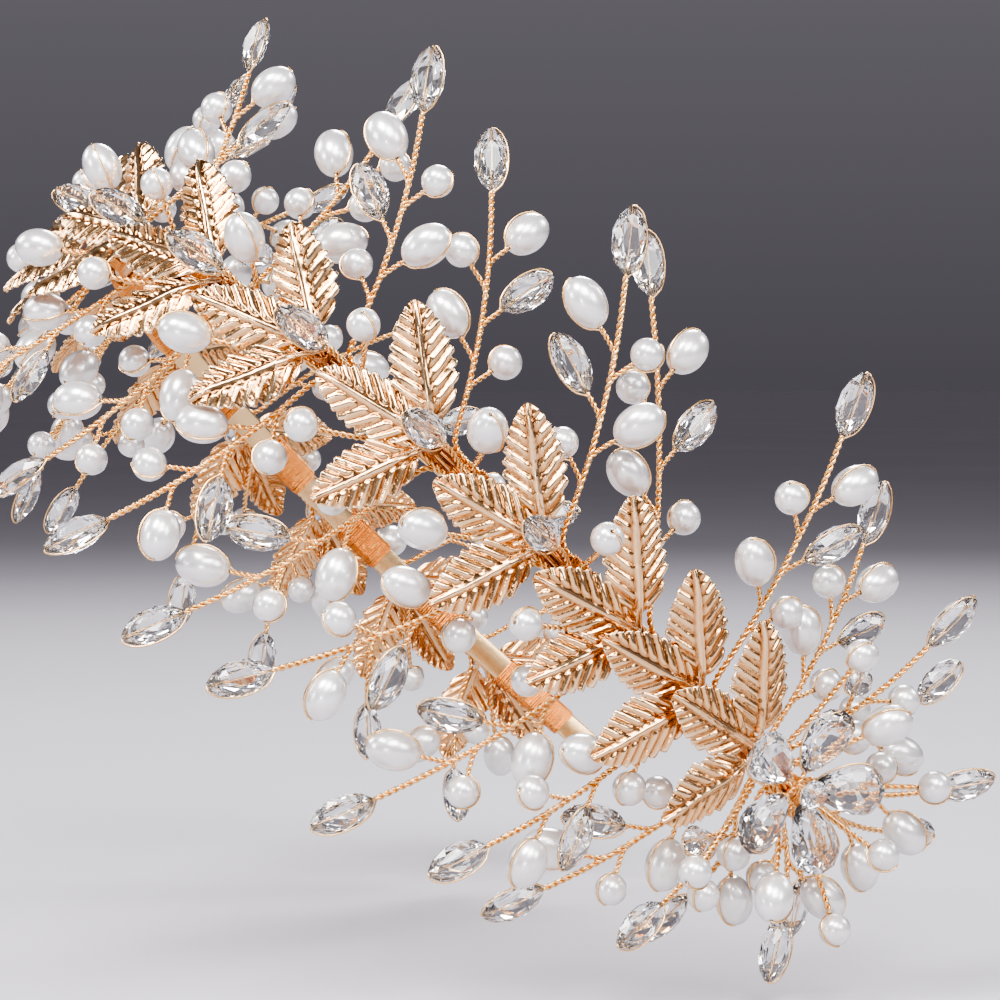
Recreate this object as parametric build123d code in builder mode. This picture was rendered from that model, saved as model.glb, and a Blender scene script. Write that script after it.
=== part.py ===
"""Bridal tiara: a sprung flat headband that carries a vine of stamped leaf trefoils, twisted-wire sprigs
with pearls and crystals, and a crystal flower at the wearer's left end.

Frame: the part stands as it is worn, with the wearer's front at -Y, their left at +X and up at +Z. The
origin is the centre of the head opening, which is the centre of the arc over the forehead. The plane of
the band is tilted about X, so that its front sits high and its two ends sit low behind the ears.
"""

import os
from itertools import accumulate
from math import cos, radians, sin, tan

from build123d import *

# ---------------------------------------- driving dimensions, mm and degrees
tilt = 43
front_radius = 64
front_half_angle = 76
side_radius = 140
side_length = 74
end_length = 12
end_corner_radius = 1.8
band_width = 4.5
band_thick = 1.0

core_radius = 1.3
core_end_gap = 5.0
collar_wall = 0.4
collar_gap = 0.1
collar_corner_radius = 0.2
collar_length = 2.5
collar_after_hub = 6.5
collar_least_gap = 16

stem_radius = 0.45
twig_radius = 0.35
wire_gap = 0.1
bead_hole_radius = 0.5
twig_angle = 42
twig_length = 4.2

pearl_radius = 2.5
oval_radius = 3.0
oval_half_length = 4.0
navette_half_length = 5.0
navette_half_width = 2.7
navette_half_depth = 1.6
brilliant_radius = 2.3

leaf_length = 21.0
leaf_width = 9.0
leaf_thick = 0.5
leaf_lift = 31
leaf_curl_radius = 29.0
leaf_rise = 10.5
leaf_angles = (38, -14, -66)
hub_height = 4.3
hub_radius = 0.8

flower_at = 16.0
flower_height = 9.0
flower_dish = 16
petal_turn = -4
petal_ring = 8.2
flower_centre_rise = 4.6
petal_half_length = 5.6
petal_half_width = 4.1
petal_half_depth = 2.0

# ---------------------------------------- where things sit along the band
# Every place along the band is a length from its left end, so the vine grows from the flower at the left
# end, over the forehead and down to the right end.
front_length = 2 * front_radius * radians(front_half_angle)
half_length = end_length + side_length + front_length / 2
band_length = 2 * half_length
station_gaps = (7, 12.5, 13.5, 18.5, 21) + (20.5,) * 11
stations = list(accumulate(station_gaps, initial=flower_at))[1:]

# A twig leaves its stem at a share of the stem's length, on the flower's side (1) or the other side (-1),
# and carries one bead. Each stem also carries a navette at its tip.
full_spray = ((0.24, 1, "round"), (0.34, -1, "oval"), (0.48, 1, "navette"),
              (0.62, -1, "round"), (0.72, 1, "oval"))
mirrored_spray = tuple((share, -side, bead) for share, side, bead in full_spray)
pearl_spray = ((0.22, 1, "oval"), (0.32, -1, "round"), (0.46, 1, "round"),
               (0.58, -1, "oval"), (0.70, 1, "round"))
short_spray = ((0.40, -1, "round"), (0.56, 1, "oval"))
small_spray = ((0.24, 1, "round"), (0.42, -1, "brilliant"), (0.56, 1, "round"))

# The sprigs at each station: angle from the growth direction, lift outward, length to the tip bead, twigs.
# The first station has none of its own, because the flower's sprays fill its place. The sprigs get shorter
# down the right side, where the vine tapers off.
upper_sprigs = ((70, 11, 48, full_spray), (50, -8, 55, full_spray), (60, 11, 46, mirrored_spray),
                (58, -8, 46, full_spray), (68, 11, 44, mirrored_spray), (82, -6, 40, pearl_spray),
                (70, 11, 37, full_spray), (62, -8, 42, full_spray), (60, 11, 44, mirrored_spray),
                (66, -8, 40, mirrored_spray), (70, 11, 38, pearl_spray), (74, -6, 36, pearl_spray),
                (68, 11, 32, short_spray), (64, -8, 30, short_spray), (60, 10, 28, short_spray))
lower_sprigs = ((72, 8, 44, full_spray), (74, -6, 49, mirrored_spray), (64, 10, 49, full_spray),
                (73, -6, 47, mirrored_spray), (80, 10, 44, full_spray), (74, -6, 42, pearl_spray),
                (72, 8, 44, full_spray), (74, -6, 46, mirrored_spray), (64, 10, 42, full_spray),
                (73, -6, 38, pearl_spray), (76, 10, 34, short_spray), (70, -6, 32, short_spray),
                (66, 9, 30, short_spray), (62, -6, 28, short_spray), (58, 9, 26, short_spray))
# The sprays around the flower: place from the flower, side, angle, lift, length, twigs.
flower_sprays = ((4.4, 1, 78, -7, 40, full_spray), (1.7, 1, 97, 15, 34, small_spray),
                 (-1.0, 1, 119, -7, 32, short_spray), (-3.7, 1, 142, 14, 28, short_spray),
                 (-6.4, 1, 164, -4, 24, short_spray), (5.4, -1, 76, -8, 41, mirrored_spray),
                 (2.7, -1, 87, 15, 31, small_spray), (0.0, -1, 103, -7, 26, short_spray),
                 (-2.7, -1, 134, 14, 24, short_spray), (-5.4, -1, 154, -5, 19, ()))
# Single beads under and between the petals: place from the flower, turn around the core, angle, lift,
# length, bead.
flower_fillers = ((0.8, 45, 104, 36, 18, "oval"), (-3.5, 30, 178, 34, 17, "round"),
                  (-1.5, -45, -112, 36, 18, "oval"), (2.4, 50, 72, 27, 22, "round"),
                  (-2.2, 50, 138, 27, 22, "round"), (-4.2, -50, -148, 27, 21, "round"),
                  (2.6, -50, -80, 27, 22, "round"))
# Single beads over the leaves: place from the hub, turn around the core, angle, lift, length, beads in turn.
fillers = ((-6.0, 25, 80, 64, 11.0, ("oval", "round")), (-5.2, 0, 8, 44, 11.0, ("navette", "navette")),
           (3.0, -70, -40, 30, 18.0, ("round", "oval")))
filler_least_gap = 16


def to_space(across, ahead, above=0.0):
    """A place in the band's plane, across to the wearer's left and ahead to their front, and above it."""
    c, s = cos(radians(tilt)), sin(radians(tilt))
    return Vector(across, above * s - ahead * c, above * c + ahead * s)


above_band = to_space(0, 0, 1)


def band_place(along, outward=0.0):
    """(across, ahead, angle from the front) of the place that far along the band and out from its middle."""
    from_front = half_length - along
    side = 1 if from_front >= 0 else -1
    run = abs(from_front) - front_length / 2
    if run <= 0:
        angle = from_front / front_radius
        return (front_radius + outward) * sin(angle), (front_radius + outward) * cos(angle), angle
    turn = min(run, side_length) / side_radius
    angle = side * (radians(front_half_angle) + turn)
    offset = front_radius - side_radius
    across = offset * sin(side * radians(front_half_angle)) + (side_radius + outward) * sin(angle)
    ahead = offset * cos(radians(front_half_angle)) + (side_radius + outward) * cos(angle)
    straight = max(run - side_length, 0)
    return across + side * straight * cos(angle), ahead - straight * abs(sin(angle)), angle


def band_frame(along, outward=0.0, above=0.0):
    """(place, growth direction, outward direction) beside the band."""
    across, ahead, angle = band_place(along, outward)
    return to_space(across, ahead, above), to_space(-cos(angle), sin(angle)), to_space(sin(angle), cos(angle))


def leaning(along, side, angle, lift):
    """The direction at an angle from the growth direction, above (1) or below (-1) the band, and lifted."""
    _, growth, outward = band_frame(along)
    a, b = radians(angle), radians(lift)
    return (growth * cos(a) + above_band * (side * sin(a))) * cos(b) + outward * sin(b)


def turned(direction, towards, angle):
    """A direction turned by an angle towards another that is square to it."""
    return direction * cos(radians(angle)) + towards * sin(radians(angle))


def bead_half_length(bead):
    return {"round": pearl_radius, "oval": oval_half_length, "navette": navette_half_length,
            "brilliant": brilliant_radius}[bead]


def beside_core(along, around):
    """Where a stem starts, clear of the core, at an angle around it from the outward direction."""
    reach = core_radius + stem_radius + wire_gap
    outward = band_thick / 2 + core_radius + reach * cos(radians(around))
    return band_frame(along, outward, reach * sin(radians(around)))[0]


class Sprig:
    """A bowed stem with a navette at its tip and straight twigs with one bead each."""

    def __init__(self, start, direction, facing, flower_side, length, twigs, bow=1.6, tip="navette"):
        self.start, self.direction = start, direction
        self.facing = (facing - direction * facing.dot(direction)).normalized()
        self.aside = self.facing.cross(direction)
        if self.aside.dot(flower_side) < 0:
            self.aside = self.aside * -1
        self.bow, self.length = bow, length - bead_half_length(tip)
        end_slope = (direction * self.length - self.aside * (4 * bow)).normalized()
        self.wires = [(self.stem_point(1), self.stem_point(1) + end_slope * (2 * bead_half_length(tip)))]
        self.beads = [(tip, self.stem_point(1) + end_slope * bead_half_length(tip), end_slope, self.facing)]
        for number, (share, side, bead) in enumerate(twigs):
            slope = (direction * self.length + self.aside * (4 * bow * (1 - 2 * share))).normalized()
            lean = turned(slope, self.aside * side, twig_angle)
            lean = turned(lean, self.facing, 8 if number % 2 else -8)
            root = self.stem_point(share)
            half = bead_half_length(bead)
            self.wires.append((root, root + lean * (twig_length + 2 * half)))
            self.beads.append((bead, root + lean * (twig_length + half), lean, self.facing))

    def stem_point(self, share):
        """A place on the stem, which bows to one side."""
        bowed = 4 * self.bow * share * (1 - share)
        return self.start + self.direction * (self.length * share) + self.aside * bowed


def sprig_at(along, side, angle, lift, length, twigs, bow=1.6):
    """A sprig that springs from the upper (1) or lower (-1) side of the core."""
    start = beside_core(along, side * 90)
    _, growth, outward = band_frame(along)
    return Sprig(start, leaning(along, side, angle, lift), outward, growth * -1, length, twigs, bow)


def filler_at(along, around, angle, lift, length, bead):
    """A single bead on a short stem that springs from the outer side of the core."""
    start = beside_core(along, around)
    _, growth, outward = band_frame(along)
    return Sprig(start, leaning(along, 1, angle, lift), outward, growth * -1, length, (), 0.4, bead)


def station_sprigs(number):
    """The sprigs and single beads of one station."""
    if number == 0:
        return []
    along = stations[number]
    found = [sprig_at(along - 2.0, 1, *upper_sprigs[number - 1]),
             sprig_at(along - 1.0, -1, *lower_sprigs[number - 1])]
    for place, around, angle, lift, length, beads in fillers:
        gap = station_gaps[number] if place < 0 else (station_gaps + (18,))[number + 1]
        if gap > filler_least_gap:
            found.append(filler_at(along + place, around, angle, lift, length, beads[number % 2]))
    return found


def flower_sprigs(side):
    """The sprays and single beads around the flower, on the upper (1) or lower (-1) side of the core."""
    found = [sprig_at(flower_at + place, side, *shape)
             for place, spray_side, *shape in flower_sprays if spray_side == side]
    found += [filler_at(flower_at + place, *shape)
              for place, *shape in flower_fillers if shape[0] * side > 0]
    return found


def flower_spokes():
    """(hub, directions of the five petal wires, outward direction at the hub)."""
    hub, growth, outward = band_frame(flower_at, flower_height)
    found = []
    for number in range(5):
        around = radians(petal_turn + 72 * number)
        flat = growth * cos(around) + above_band * sin(around)
        found.append(turned(flat, outward, flower_dish))
    return hub, found, outward


# ---------------------------------------- shapes and steps used by several sub-parts
zones = {"left": range(0, 6), "front": range(6, 11), "right": range(11, len(stations))}


def bead_plane(centre, axis, facing):
    """The plane a bead is placed by: its wire runs along X and its face looks along Z."""
    return Plane(origin=centre, x_dir=axis, z_dir=facing - axis * facing.dot(axis))


def pear_outline(half_length, half_width, sides):
    """Corners of a pear-shaped girdle, blunt towards +X."""
    turns = [radians(360 * k / sides) for k in range(sides)]
    return [(half_length * cos(t), half_width * sin(t) * (0.8 + 0.28 * cos(t))) for t in turns]


def navette_outline(half_length, half_width, sides):
    """Corners of a boat-shaped girdle with a point at each end."""
    turns = [radians(360 * k / sides) for k in range(sides)]
    return [(half_length * cos(t), half_width * sin(t) * abs(sin(t)) ** 0.35) for t in turns]


def gem(outline, half_depth, table=0.52, culet=0.34):
    """A cut stone with its girdle in XY, its table up, and a hole for its wire along X."""
    longest = max(x for x, y in outline)
    with BuildPart() as stone:
        for height, share in ((-half_depth, culet), (0.15 * half_depth, 1), (half_depth, table)):
            with BuildSketch(Plane.XY.offset(height)):
                Polygon(*[(share * x, share * y) for x, y in outline], align=None)
        loft(ruled=True)
        Cylinder(bead_hole_radius, 3 * longest, rotation=(0, 90, 0), mode=Mode.SUBTRACT)
    return stone.part


def finish(piece, name):
    """Labels a finished sub-part and writes it."""
    piece.part.label = name
    export_step(piece.part, f"parts/{name}.step")


def wire(start, end, radius):
    """A straight run of wire, added to the part being built."""
    with Locations(Plane(origin=start, z_dir=end - start).location):
        Cylinder(radius, (end - start).length, align=(Align.CENTER, Align.CENTER, Align.MIN))


os.makedirs("parts", exist_ok=True)

# ---------------------------------------- headband: a flat strip with two straight ends
band_plane = Plane(origin=(0, 0, 0), x_dir=(1, 0, 0), z_dir=above_band * -1)
joints_along = (0, end_length, end_length + side_length)
joints_along += tuple(band_length - along for along in reversed(joints_along))


def band_edge(outward):
    """One long edge of the strip, as a line, three arcs and a line."""
    marks = [band_place(along, outward)[:2] for along in joints_along]
    middles = [band_place((a + b) / 2, outward)[:2] for a, b in zip(joints_along, joints_along[1:])]
    Line(marks[0], marks[1])
    for number in (1, 2, 3):
        ThreePointArc(marks[number], middles[number], marks[number + 1])
    Line(marks[4], marks[5])
    return marks[0], marks[5]


with BuildPart() as headband:
    with BuildSketch(band_plane):
        with BuildLine():
            outer_ends = band_edge(band_thick / 2)
            inner_ends = band_edge(-band_thick / 2)
            Line(outer_ends[0], inner_ends[0])
            Line(outer_ends[1], inner_ends[1])
        make_face()
    extrude(amount=band_width / 2, both=True)
    corners = headband.edges().filter_by(lambda edge: abs(edge.length - band_thick) < 0.01)
    fillet(corners, end_corner_radius)
finish(headband, "headband")

# ---------------------------------------- vine core: the bundled stem wires
core_outward = band_thick / 2 + core_radius
core_marks = [core_end_gap, *joints_along[1:5], band_length - core_end_gap]
with BuildPart() as vine_core:
    with BuildLine(band_plane):
        core_places = [band_place(along, core_outward)[:2] for along in core_marks]
        core_middles = [band_place((a + b) / 2, core_outward)[:2] for a, b in zip(core_marks, core_marks[1:])]
        Line(core_places[0], core_places[1])
        for number in (1, 2, 3):
            ThreePointArc(core_places[number], core_middles[number], core_places[number + 1])
        Line(core_places[4], core_places[5])
    core_start, core_growth, _ = band_frame(core_end_gap, core_outward)
    with BuildSketch(Plane(origin=core_start, z_dir=core_growth)):
        Circle(core_radius)
    sweep()
finish(vine_core, "vine_core")

# ---------------------------------------- binding wire: a wound collar in each wide gap
collar_places = [along + collar_after_hub for along, gap in zip(stations, station_gaps[1:] + (20,))
                 if gap > collar_least_gap]
collar_inner = (band_width + 2 * collar_gap, band_thick + 2 * core_radius + 2 * collar_gap)
with BuildPart() as binding_wire:
    for along in collar_places:
        place, growth, outward = band_frame(along, core_radius)
        with BuildSketch(Plane(origin=place, x_dir=above_band, z_dir=growth)):
            collar_outer = [size + 2 * collar_wall for size in collar_inner]
            RectangleRounded(*collar_outer, collar_corner_radius + collar_wall)
            RectangleRounded(*collar_inner, collar_corner_radius, mode=Mode.SUBTRACT)
        extrude(amount=collar_length / 2, both=True)
finish(binding_wire, "binding_wire")

# ---------------------------------------- leaf trefoils: three pressed leaves on one stalk
with BuildSketch() as leaf_outline:
    with BuildLine():
        ThreePointArc((0, 0), (leaf_length / 2, leaf_width / 2), (leaf_length, 0))
        ThreePointArc((0, 0), (leaf_length / 2, -leaf_width / 2), (leaf_length, 0))
    make_face()


def curl(reach):
    """Height of a leaf's underside at a distance from its stalk."""
    return reach * tan(radians(leaf_lift)) - reach ** 2 / (2 * leaf_curl_radius)


with BuildPart() as trefoil:
    with BuildSketch(Plane.XZ):
        with BuildLine():
            full = leaf_length + 1
            under = ThreePointArc((0, 0), (full / 2, curl(full / 2)), (full, curl(full)))
            upper = ThreePointArc((0, leaf_thick), (full / 2, curl(full / 2) + leaf_thick),
                                  (full, curl(full) + leaf_thick))
            Line(under @ 0, upper @ 0)
            Line(under @ 1, upper @ 1)
        make_face()
    revolve(axis=Axis.Z)
    with BuildSketch(Plane.XY.offset(-1)):
        for angle in leaf_angles:  # Y points below the band once a trefoil is placed
            add(leaf_outline.sketch, rotation=-angle)
        Circle(hub_radius)
    extrude(amount=leaf_rise, mode=Mode.INTERSECT)
    with Locations((0, 0, leaf_thick)):
        stalk_length = hub_height + leaf_thick - band_thick / 2 - 2 * core_radius - wire_gap
        Cylinder(hub_radius, stalk_length, align=(Align.CENTER, Align.CENTER, Align.MAX))

for number, along in enumerate(stations, start=1):
    place, growth, outward = band_frame(along, hub_height)
    with BuildPart() as leaf_trefoil:
        with Locations(Plane(origin=place, x_dir=growth, z_dir=outward).location):
            add(trefoil.part)
    finish(leaf_trefoil, f"leaf_trefoil_{number:02d}")

# ---------------------------------------- sprig wires: one stem and its twigs are one twisted wire
wire_nodes = [(f"sprig_wires_{number + 1:02d}", zone, station_sprigs(number))
              for zone, numbers in zones.items() for number in numbers if station_sprigs(number)]
for side, name in ((1, "upper"), (-1, "lower")):
    wire_nodes.append((f"flower_spray_wires_{name}", "left", flower_sprigs(side)))

placed = {zone: {"round": [], "oval": [], "navette": [], "brilliant": []} for zone in zones}
for name, zone, sprigs in wire_nodes:
    with BuildPart() as sprig_wires:
        for sprig in sprigs:
            with BuildLine() as stem_line:
                ThreePointArc(sprig.stem_point(0), sprig.stem_point(0.5), sprig.stem_point(1))
            with BuildSketch(Plane(origin=sprig.start, z_dir=stem_line.line % 0)):
                Circle(stem_radius)
            sweep()
            for start, end in sprig.wires:
                wire(start, end, twig_radius)
            for bead, centre, axis, facing in sprig.beads:
                placed[zone][bead].append(bead_plane(centre, axis, facing).location)
    finish(sprig_wires, name)

# ---------------------------------------- flower: five pear-cut petals on their wires
flower_hub, spokes, flower_outward = flower_spokes()
flower_foot = beside_core(flower_at, 0)
with BuildPart() as flower_wires:
    wire(flower_foot, flower_hub, stem_radius)
    wire(flower_hub, flower_hub + flower_outward * (flower_centre_rise + brilliant_radius), twig_radius)
    for spoke in spokes:
        wire(flower_hub, flower_hub + spoke * (petal_ring + petal_half_length), twig_radius)
finish(flower_wires, "flower_wires")

petal_stone = gem(pear_outline(petal_half_length, petal_half_width, 14), petal_half_depth)
for number, spoke in enumerate(spokes, start=1):
    with BuildPart() as petal:
        with Locations(bead_plane(flower_hub + spoke * petal_ring, spoke, flower_outward).location):
            add(petal_stone)
    finish(petal, f"flower_petal_{number}")

# ---------------------------------------- pearls and stones, by kind and by zone
def pearl(half_length, radius):
    """A pearl turned about X, with a hole for its wire along X."""
    with BuildPart() as bead:
        with BuildSketch():
            Ellipse(half_length, radius)
            with Locations((0, bead_hole_radius)):
                Rectangle(3 * half_length, 3 * radius, align=(Align.CENTER, Align.MAX), mode=Mode.SUBTRACT)
        revolve(axis=Axis.X)
    return bead.part


round_pearl = pearl(pearl_radius, pearl_radius)
oval_pearl = pearl(oval_half_length, oval_radius)

navette_stone = gem(navette_outline(navette_half_length, navette_half_width, 12), navette_half_depth)
brilliant_stone = gem(pear_outline(brilliant_radius, brilliant_radius * 1.2, 10), brilliant_radius * 0.8)

with BuildPart() as flower_centre:
    centre_place = flower_hub + flower_outward * flower_centre_rise
    with Locations(bead_plane(centre_place, flower_outward, spokes[0]).location):
        add(brilliant_stone)
finish(flower_centre, "flower_centre")

kinds = (("round", "round_pearls", round_pearl), ("oval", "oval_pearls", oval_pearl),
         ("navette", "navette_crystals", navette_stone), ("brilliant", "brilliant_crystals", brilliant_stone))
for zone in zones:
    for bead, name, shape in kinds:
        if placed[zone][bead]:
            with BuildPart() as group:
                with Locations(*placed[zone][bead]):
                    add(shape)
            assert len(group.solids()) == len(placed[zone][bead]), f"{name}_{zone}: beads run together"
            finish(group, f"{name}_{zone}")
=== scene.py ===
"""Looks of the bridal tiara: twisted wires, pressed leaves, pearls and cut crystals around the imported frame.

The layout repeats the CAD part's own values in millimetres, and every piece is scaled to metres as its mesh
is made, so each one lies where its CAD node lies.
"""

from itertools import accumulate
from math import cos, pi, radians, sin, tan
from random import Random

import bpy
import numpy as np
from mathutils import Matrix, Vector


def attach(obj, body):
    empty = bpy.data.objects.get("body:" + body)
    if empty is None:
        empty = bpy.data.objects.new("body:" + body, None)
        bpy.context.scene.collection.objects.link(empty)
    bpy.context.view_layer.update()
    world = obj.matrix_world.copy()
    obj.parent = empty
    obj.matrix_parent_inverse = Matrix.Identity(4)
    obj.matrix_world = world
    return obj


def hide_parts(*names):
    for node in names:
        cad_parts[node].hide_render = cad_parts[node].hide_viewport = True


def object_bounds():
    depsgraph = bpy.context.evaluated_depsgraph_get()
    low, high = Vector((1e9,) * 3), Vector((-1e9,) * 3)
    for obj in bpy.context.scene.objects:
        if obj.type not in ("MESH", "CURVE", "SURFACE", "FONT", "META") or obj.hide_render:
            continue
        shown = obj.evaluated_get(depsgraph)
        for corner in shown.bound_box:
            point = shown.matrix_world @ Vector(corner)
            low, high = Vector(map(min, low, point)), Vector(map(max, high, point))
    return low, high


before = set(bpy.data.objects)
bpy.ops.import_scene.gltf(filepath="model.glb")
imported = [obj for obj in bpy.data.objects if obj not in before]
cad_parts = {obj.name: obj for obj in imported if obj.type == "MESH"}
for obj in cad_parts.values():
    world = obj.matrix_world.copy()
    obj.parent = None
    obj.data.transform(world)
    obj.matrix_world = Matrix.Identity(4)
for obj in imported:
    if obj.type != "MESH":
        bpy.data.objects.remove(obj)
cad_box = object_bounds()
MM = 0.001

# ---------------------------------------- layout, as in the CAD part, mm and degrees
tilt = 43
front_radius = 64
front_half_angle = 76
side_radius = 140
side_length = 74
end_length = 12
end_corner_radius = 1.8
band_width = 4.5
band_thick = 1.0

core_radius = 1.3
core_end_gap = 5.0

stem_radius = 0.45
wire_gap = 0.1
bead_hole_radius = 0.5
twig_angle = 42
twig_length = 4.2

pearl_radius = 2.5
oval_radius = 3.0
oval_half_length = 4.0
navette_half_length = 5.0
navette_half_width = 2.7
navette_half_depth = 1.6
brilliant_radius = 2.3

leaf_length = 21.0
leaf_width = 9.0
leaf_lift = 31
leaf_curl_radius = 29.0
leaf_angles = (38, -14, -66)
hub_height = 4.3

flower_at = 16.0
flower_height = 9.0
flower_dish = 16
petal_turn = -4
petal_ring = 8.2
flower_centre_rise = 4.6
petal_half_length = 5.6
petal_half_width = 4.1
petal_half_depth = 2.0

front_length = 2 * front_radius * radians(front_half_angle)
half_length = end_length + side_length + front_length / 2
band_length = 2 * half_length
station_gaps = (7, 12.5, 13.5, 18.5, 21) + (20.5,) * 11
stations = list(accumulate(station_gaps, initial=flower_at))[1:]

full_spray = ((0.24, 1, "round"), (0.34, -1, "oval"), (0.48, 1, "navette"),
              (0.62, -1, "round"), (0.72, 1, "oval"))
mirrored_spray = tuple((share, -side, bead) for share, side, bead in full_spray)
pearl_spray = ((0.22, 1, "oval"), (0.32, -1, "round"), (0.46, 1, "round"),
               (0.58, -1, "oval"), (0.70, 1, "round"))
short_spray = ((0.40, -1, "round"), (0.56, 1, "oval"))
small_spray = ((0.24, 1, "round"), (0.42, -1, "brilliant"), (0.56, 1, "round"))

# The sprigs at each station: angle from the growth direction, lift outward, length to the tip bead, twigs.
# The first station has none of its own, because the flower's sprays fill its place. The sprigs get shorter
# down the right side, where the vine tapers off.
upper_sprigs = ((70, 11, 48, full_spray), (50, -8, 55, full_spray), (60, 11, 46, mirrored_spray),
                (58, -8, 46, full_spray), (68, 11, 44, mirrored_spray), (82, -6, 40, pearl_spray),
                (70, 11, 37, full_spray), (62, -8, 42, full_spray), (60, 11, 44, mirrored_spray),
                (66, -8, 40, mirrored_spray), (70, 11, 38, pearl_spray), (74, -6, 36, pearl_spray),
                (68, 11, 32, short_spray), (64, -8, 30, short_spray), (60, 10, 28, short_spray))
lower_sprigs = ((72, 8, 44, full_spray), (74, -6, 49, mirrored_spray), (64, 10, 49, full_spray),
                (73, -6, 47, mirrored_spray), (80, 10, 44, full_spray), (74, -6, 42, pearl_spray),
                (72, 8, 44, full_spray), (74, -6, 46, mirrored_spray), (64, 10, 42, full_spray),
                (73, -6, 38, pearl_spray), (76, 10, 34, short_spray), (70, -6, 32, short_spray),
                (66, 9, 30, short_spray), (62, -6, 28, short_spray), (58, 9, 26, short_spray))
# The sprays around the flower: place from the flower, side, angle, lift, length, twigs.
flower_sprays = ((4.4, 1, 78, -7, 40, full_spray), (1.7, 1, 97, 15, 34, small_spray),
                 (-1.0, 1, 119, -7, 32, short_spray), (-3.7, 1, 142, 14, 28, short_spray),
                 (-6.4, 1, 164, -4, 24, short_spray), (5.4, -1, 76, -8, 41, mirrored_spray),
                 (2.7, -1, 87, 15, 31, small_spray), (0.0, -1, 103, -7, 26, short_spray),
                 (-2.7, -1, 134, 14, 24, short_spray), (-5.4, -1, 154, -5, 19, ()))
# Single beads under and between the petals: place from the flower, turn around the core, angle, lift,
# length, bead.
flower_fillers = ((0.8, 45, 104, 36, 18, "oval"), (-3.5, 30, 178, 34, 17, "round"),
                  (-1.5, -45, -112, 36, 18, "oval"), (2.4, 50, 72, 27, 22, "round"),
                  (-2.2, 50, 138, 27, 22, "round"), (-4.2, -50, -148, 27, 21, "round"),
                  (2.6, -50, -80, 27, 22, "round"))
# Single beads over the leaves: place from the hub, turn around the core, angle, lift, length, beads in turn.
fillers = ((-6.0, 25, 80, 64, 11.0, ("oval", "round")), (-5.2, 0, 8, 44, 11.0, ("navette", "navette")),
           (3.0, -70, -40, 30, 18.0, ("round", "oval")))
filler_least_gap = 16
sprig_bow, filler_bow = 1.6, 0.4
zones = {"left": range(0, 6), "front": range(6, 11), "right": range(11, len(stations))}


def to_space(across, ahead, above=0.0):
    """A place in the band's plane, across to the wearer's left and ahead to their front, and above it."""
    c, s = cos(radians(tilt)), sin(radians(tilt))
    return Vector((across, above * s - ahead * c, above * c + ahead * s))


above_band = to_space(0, 0, 1)


def band_place(along, outward=0.0):
    """(across, ahead, angle from the front) of the place that far along the band and out from its middle."""
    from_front = half_length - along
    side = 1 if from_front >= 0 else -1
    run = abs(from_front) - front_length / 2
    if run <= 0:
        angle = from_front / front_radius
        return (front_radius + outward) * sin(angle), (front_radius + outward) * cos(angle), angle
    turn = min(run, side_length) / side_radius
    angle = side * (radians(front_half_angle) + turn)
    offset = front_radius - side_radius
    across = offset * sin(side * radians(front_half_angle)) + (side_radius + outward) * sin(angle)
    ahead = offset * cos(radians(front_half_angle)) + (side_radius + outward) * cos(angle)
    straight = max(run - side_length, 0)
    return across + side * straight * cos(angle), ahead - straight * abs(sin(angle)), angle


def band_frame(along, outward=0.0, above=0.0):
    """(place, growth direction, outward direction) beside the band."""
    across, ahead, angle = band_place(along, outward)
    return to_space(across, ahead, above), to_space(-cos(angle), sin(angle)), to_space(sin(angle), cos(angle))


def leaning(along, side, angle, lift):
    """The direction at an angle from the growth direction, above (1) or below (-1) the band, and lifted."""
    _, growth, outward = band_frame(along)
    a, b = radians(angle), radians(lift)
    return (growth * cos(a) + above_band * (side * sin(a))) * cos(b) + outward * sin(b)


def turned(direction, towards, angle):
    """A direction turned by an angle towards another that is square to it."""
    return direction * cos(radians(angle)) + towards * sin(radians(angle))


def bead_half_length(bead):
    return {"round": pearl_radius, "oval": oval_half_length, "navette": navette_half_length,
            "brilliant": brilliant_radius}[bead]


def beside_core(along, around):
    """Where a stem starts, clear of the core, at an angle around it from the outward direction."""
    reach = core_radius + stem_radius + wire_gap
    outward = band_thick / 2 + core_radius + reach * cos(radians(around))
    return band_frame(along, outward, reach * sin(radians(around)))[0]


class Sprig:
    """A bowed stem with a bead at its tip and straight twigs with one bead each."""

    def __init__(self, along, start, direction, facing, flower_side, length, twigs, bow, tip):
        self.along, self.start, self.direction = along, start, direction
        self.facing = (facing - direction * facing.dot(direction)).normalized()
        self.aside = self.facing.cross(direction)
        if self.aside.dot(flower_side) < 0:
            self.aside = self.aside * -1
        self.bow, self.length = bow, length - bead_half_length(tip)
        end_slope = (direction * self.length - self.aside * (4 * bow)).normalized()
        self.twigs = []
        self.beads = [(tip, self.stem_point(1) + end_slope * bead_half_length(tip), end_slope, self.facing)]
        for number, (share, side, bead) in enumerate(twigs):
            slope = (direction * self.length + self.aside * (4 * bow * (1 - 2 * share))).normalized()
            lean = turned(slope, self.aside * side, twig_angle)
            lean = turned(lean, self.facing, 8 if number % 2 else -8)
            root = self.stem_point(share)
            half = bead_half_length(bead)
            self.twigs.append((share, root, slope, lean))
            self.beads.append((bead, root + lean * (twig_length + half), lean, self.facing))

    def stem_point(self, share):
        """A place on the stem, which bows to one side."""
        bowed = 4 * self.bow * share * (1 - share)
        return self.start + self.direction * (self.length * share) + self.aside * bowed


def sprig_at(along, side, angle, lift, length, twigs):
    """A sprig that springs from the upper (1) or lower (-1) side of the core."""
    start = beside_core(along, side * 90)
    _, growth, outward = band_frame(along)
    return Sprig(along, start, leaning(along, side, angle, lift), outward, growth * -1, length, twigs,
                 sprig_bow, "navette")


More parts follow.
